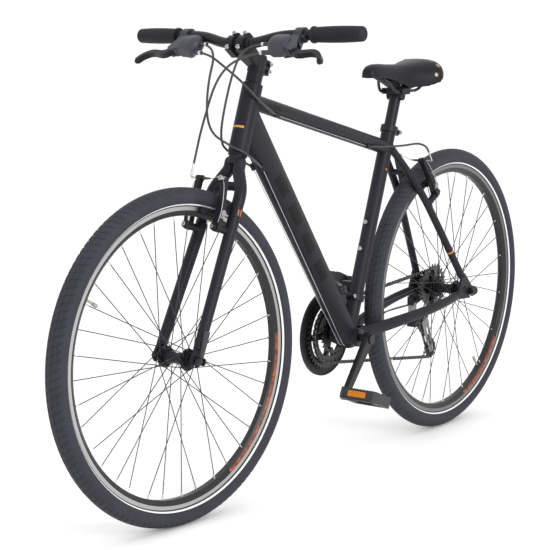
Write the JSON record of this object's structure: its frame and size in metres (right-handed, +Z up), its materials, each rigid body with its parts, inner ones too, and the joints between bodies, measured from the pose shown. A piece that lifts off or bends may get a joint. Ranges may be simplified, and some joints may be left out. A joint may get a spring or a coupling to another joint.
{
  "type": "hybrid bicycle",
  "caption": "Hybrid bicycle with a straight-tubed frame, rigid fork, flat riser bar, rim brakes, spoked wheels and a derailleur chain drive.",
  "frame": {"origin": "on the ground midway between the two wheel axles, under the frame's middle plane", "axes": "+X forward, +Y to the rider's left, +Z up"},
  "size_m": [1.7702, 0.6246, 1.029],
  "materials": {
    "frame_paint": "satin",
    "black_alloy": "satin",
    "steel": "satin",
    "rim_alloy": "satin",
    "spoke_steel": "satin",
    "hub_alloy": "satin",
    "tyre_rubber": "matte",
    "chain_steel": "satin",
    "ring_steel": "satin",
    "crank_black": "gloss",
    "guard_plastic": "satin",
    "pod_plastic": "satin",
    "lever_alloy": "satin",
    "grip_rubber": "matte",
    "pulley_plastic": "matte",
    "pedal_plastic": "matte",
    "saddle_cover": "satin",
    "cable_sheath": "satin"
  },
  "bodies": {
    "frame": {"head_tube": "frame_paint", "top_tube": "frame_paint", "down_tube": "frame_paint", "seat_tube": "frame_paint", "bottom_bracket_shell": "frame_paint", "chain_stays": "frame_paint", "seat_stays": "frame_paint", "dropouts": "frame_paint", "frame_bearings": "steel", "rear_axle": "steel", "derailleur_mounts": "steel", "frame_fittings": "black_alloy", "frame_cables": "cable_sheath", "chain": "chain_steel", "steering_housings": "cable_sheath", "rear_brake_cable": "cable_sheath", "front_shift_wire": "cable_sheath"},
    "steering": {"fork_steerer": "frame_paint", "fork_legs": "frame_paint", "stem": "black_alloy", "handlebar": "black_alloy", "grips": "grip_rubber", "shifter_pods": "pod_plastic", "front_axle": "steel", "front_brake_cable": "cable_sheath"},
    "front_wheel": {"front_tyre": "tyre_rubber", "front_rim": "rim_alloy", "front_spokes": "spoke_steel", "front_hub": "hub_alloy"},
    "rear_wheel": {"rear_tyre": "tyre_rubber", "rear_rim": "rim_alloy", "rear_spokes": "spoke_steel", "rear_hub": "hub_alloy"},
    "cassette": {"cassette": "chain_steel"},
    "crankset": {"crank_arms": "crank_black", "crank_axles": "steel", "chainrings": "ring_steel", "chain_guard": "guard_plastic"},
    "pedal_left": {"pedal_left": "pedal_plastic"},
    "pedal_right": {"pedal_right": "pedal_plastic"},
    "brake_lever_left": {"brake_lever_left": "lever_alloy"},
    "brake_lever_right": {"brake_lever_right": "lever_alloy"},
    "shift_lever_left": {"shift_lever_left": "pod_plastic"},
    "shift_lever_right": {"shift_lever_right": "pod_plastic"},
    "front_brake_arm_left": {"front_brake_arm_left": "black_alloy"},
    "front_brake_arm_right": {"front_brake_arm_right": "black_alloy"},
    "rear_brake_arm_left": {"rear_brake_arm_left": "black_alloy"},
    "rear_brake_arm_right": {"rear_brake_arm_right": "black_alloy"},
    "front_derailleur_link": {"front_derailleur_link": "steel"},
    "front_derailleur_cage": {"front_derailleur_cage": "black_alloy"},
    "rear_derailleur_inner_link": {"rear_derailleur_inner_link": "steel"},
    "rear_derailleur_outer_link": {"rear_derailleur_outer_link": "steel"},
    "rear_derailleur_body": {"rear_derailleur_body": "black_alloy"},
    "rear_derailleur_cage": {"rear_derailleur_cage": "black_alloy"},
    "guide_pulley": {"guide_pulley": "pulley_plastic"},
    "tension_pulley": {"tension_pulley": "pulley_plastic"},
    "seatpost": {"seatpost": "black_alloy", "saddle": "saddle_cover", "saddle_rails": "steel"},
    "front_release_lever": {"front_release_lever": "steel"}
  },
  "joints": [
    {"name": "steering_turn", "type": "hinge", "parent": "frame", "child": "steering", "pos_m": [0.33376, 0, 0.7577], "axis": [-0.342, 0, 0.9397], "range_deg": [-34.24, 45.76], "deforming": ["steering_housings"]},
    {"name": "front_wheel_spin", "type": "hinge", "parent": "steering", "child": "front_wheel", "pos_m": [0.53476, -0.00502, 0.35091], "axis": [0.0943, 0.995, 0.0343], "continuous": true},
    {"name": "rear_wheel_spin", "type": "hinge", "parent": "frame", "child": "rear_wheel", "pos_m": [-0.535, 0, 0.351], "axis": [0, 1, 0], "continuous": true},
    {"name": "crank_spin", "type": "hinge", "parent": "frame", "child": "crankset", "pos_m": [-0.09518, 0, 0.298], "axis": [0, 1, 0], "continuous": true, "deforming": ["chain"]},
    {"name": "cassette_spin", "type": "hinge", "parent": "frame", "child": "cassette", "pos_m": [-0.535, 0, 0.351], "axis": [0, 1, 0], "continuous": true},
    {"name": "pedal_left_spin", "type": "hinge", "parent": "crankset", "child": "pedal_left", "pos_m": [0.04059, 0.131, 0.19569], "axis": [0, 1, 0], "continuous": true},
    {"name": "pedal_right_spin", "type": "hinge", "parent": "crankset", "child": "pedal_right", "pos_m": [-0.23095, -0.131, 0.40031], "axis": [0, 1, 0], "continuous": true},
    {"name": "brake_lever_left_pull", "type": "hinge", "parent": "steering", "child": "brake_lever_left", "pos_m": [0.36142, 0.16073, 0.97784], "axis": [0.6087, -0.0508, 0.7917], "range_deg": [0, 22], "stiffness_Nm_per_rad": 0.6, "springref_deg": -20.05},
    {"name": "shift_lever_left_push", "type": "hinge", "parent": "steering", "child": "shift_lever_left", "pos_m": [0.35008, 0.12474, 0.98426], "axis": [-0.6087, 0.0508, -0.7917], "range_deg": [0, 20], "stiffness_Nm_per_rad": 0.3, "springref_deg": -17.19},
    {"name": "brake_lever_right_pull", "type": "hinge", "parent": "steering", "child": "brake_lever_right", "pos_m": [0.32934, -0.17772, 0.96617], "axis": [-0.6023, 0.1185, -0.7894], "range_deg": [0, 22], "stiffness_Nm_per_rad": 0.6, "springref_deg": -20.05},
    {"name": "shift_lever_right_push", "type": "hinge", "parent": "steering", "child": "shift_lever_right", "pos_m": [0.32491, -0.14076, 0.9751], "axis": [0.6023, -0.1185, 0.7894], "range_deg": [0, 20], "stiffness_Nm_per_rad": 0.3, "springref_deg": -17.19},
    {"name": "front_brake_arm_left_close", "type": "hinge", "parent": "steering", "child": "front_brake_arm_left", "pos_m": [0.41489, 0.03788, 0.60206], "axis": [0.9349, -0.1004, 0.3403], "range_deg": [0, 2.65], "deforming": ["front_brake_cable"]},
    {"name": "front_brake_arm_right_close", "type": "hinge", "parent": "steering", "child": "front_brake_arm_right", "pos_m": [0.40734, -0.04171, 0.59931], "axis": [0.9349, -0.1004, 0.3403], "range_deg": [-2.65, 0]},
    {"name": "rear_brake_arm_right_close", "type": "hinge", "parent": "frame", "child": "rear_brake_arm_right", "pos_m": [-0.3817, -0.04, 0.58171], "axis": [-0.8329, 0, 0.5534], "range_deg": [0, 2.65], "deforming": ["rear_brake_cable"]},
    {"name": "rear_brake_arm_left_close", "type": "hinge", "parent": "frame", "child": "rear_brake_arm_left", "pos_m": [-0.3817, 0.04, 0.58171], "axis": [-0.8329, 0, 0.5534], "range_deg": [-2.65, 0]},
    {"name": "front_derailleur_swing", "type": "hinge", "parent": "frame", "child": "front_derailleur_link", "pos_m": [-0.12718, -0.031, 0.414], "axis": [1, 0, 0], "range_deg": [-19, 15], "deforming": ["front_shift_wire"]},
    {"name": "front_derailleur_cage_hang", "type": "hinge", "parent": "front_derailleur_link", "child": "front_derailleur_cage", "pos_m": [-0.12718, -0.031, 0.392], "axis": [1, 0, 0], "range_deg": [-15, 19]},
    {"name": "rear_derailleur_swing", "type": "hinge", "parent": "frame", "child": "rear_derailleur_inner_link", "pos_m": [-0.5215, -0.079, 0.305], "axis": [1, 0, 0], "range_deg": [-18, 18]},
    {"name": "rear_derailleur_outer_swing", "type": "hinge", "parent": "frame", "child": "rear_derailleur_outer_link", "pos_m": [-0.5215, -0.088, 0.305], "axis": [1, 0, 0], "range_deg": [-18, 18]},
    {"name": "rear_derailleur_body_hang", "type": "hinge", "parent": "rear_derailleur_inner_link", "child": "rear_derailleur_body", "pos_m": [-0.5215, -0.079, 0.261], "axis": [1, 0, 0], "range_deg": [-18, 18]},
    {"name": "rear_derailleur_cage_swing", "type": "hinge", "parent": "rear_derailleur_body", "child": "rear_derailleur_cage", "pos_m": [-0.515, -0.046, 0.261], "axis": [0, 1, 0], "range_deg": [-15, 20], "stiffness_Nm_per_rad": 1},
    {"name": "guide_pulley_spin", "type": "hinge", "parent": "rear_derailleur_cage", "child": "guide_pulley", "pos_m": [-0.515, -0.046, 0.261], "axis": [0, 1, 0], "continuous": true},
    {"name": "tension_pulley_spin", "type": "hinge", "parent": "rear_derailleur_cage", "child": "tension_pulley", "pos_m": [-0.54631, -0.046, 0.18956], "axis": [0, 1, 0], "continuous": true},
    {"name": "seatpost_slide", "type": "slide", "parent": "frame", "child": "seatpost", "axis": [-0.3338, 0, 0.9426], "range_m": [-0.045, 0.06]},
    {"name": "front_release_flip", "type": "hinge", "parent": "steering", "child": "front_release_lever", "pos_m": [0.54116, 0.06242, 0.35324], "axis": [-0.9349, 0.1004, -0.3403], "range_deg": [0, 160]}
  ],
  "couplings": [
    {"joint": "cassette_spin", "follows": "crank_spin", "ratio": 1.7},
    {"joint": "guide_pulley_spin", "follows": "crank_spin", "ratio": -3.0909},
    {"joint": "tension_pulley_spin", "follows": "crank_spin", "ratio": 3.0909},
    {"joint": "front_brake_arm_left_close", "follows": "brake_lever_left_pull", "ratio": 0.12},
    {"joint": "front_brake_arm_right_close", "follows": "brake_lever_left_pull", "ratio": -0.12},
    {"joint": "rear_brake_arm_right_close", "follows": "brake_lever_right_pull", "ratio": 0.12},
    {"joint": "rear_brake_arm_left_close", "follows": "brake_lever_right_pull", "ratio": -0.12},
    {"joint": "front_derailleur_cage_hang", "follows": "front_derailleur_swing", "ratio": -1},
    {"joint": "rear_derailleur_outer_swing", "follows": "rear_derailleur_swing", "ratio": 1},
    {"joint": "rear_derailleur_body_hang", "follows": "rear_derailleur_swing", "ratio": -1}
  ]
}
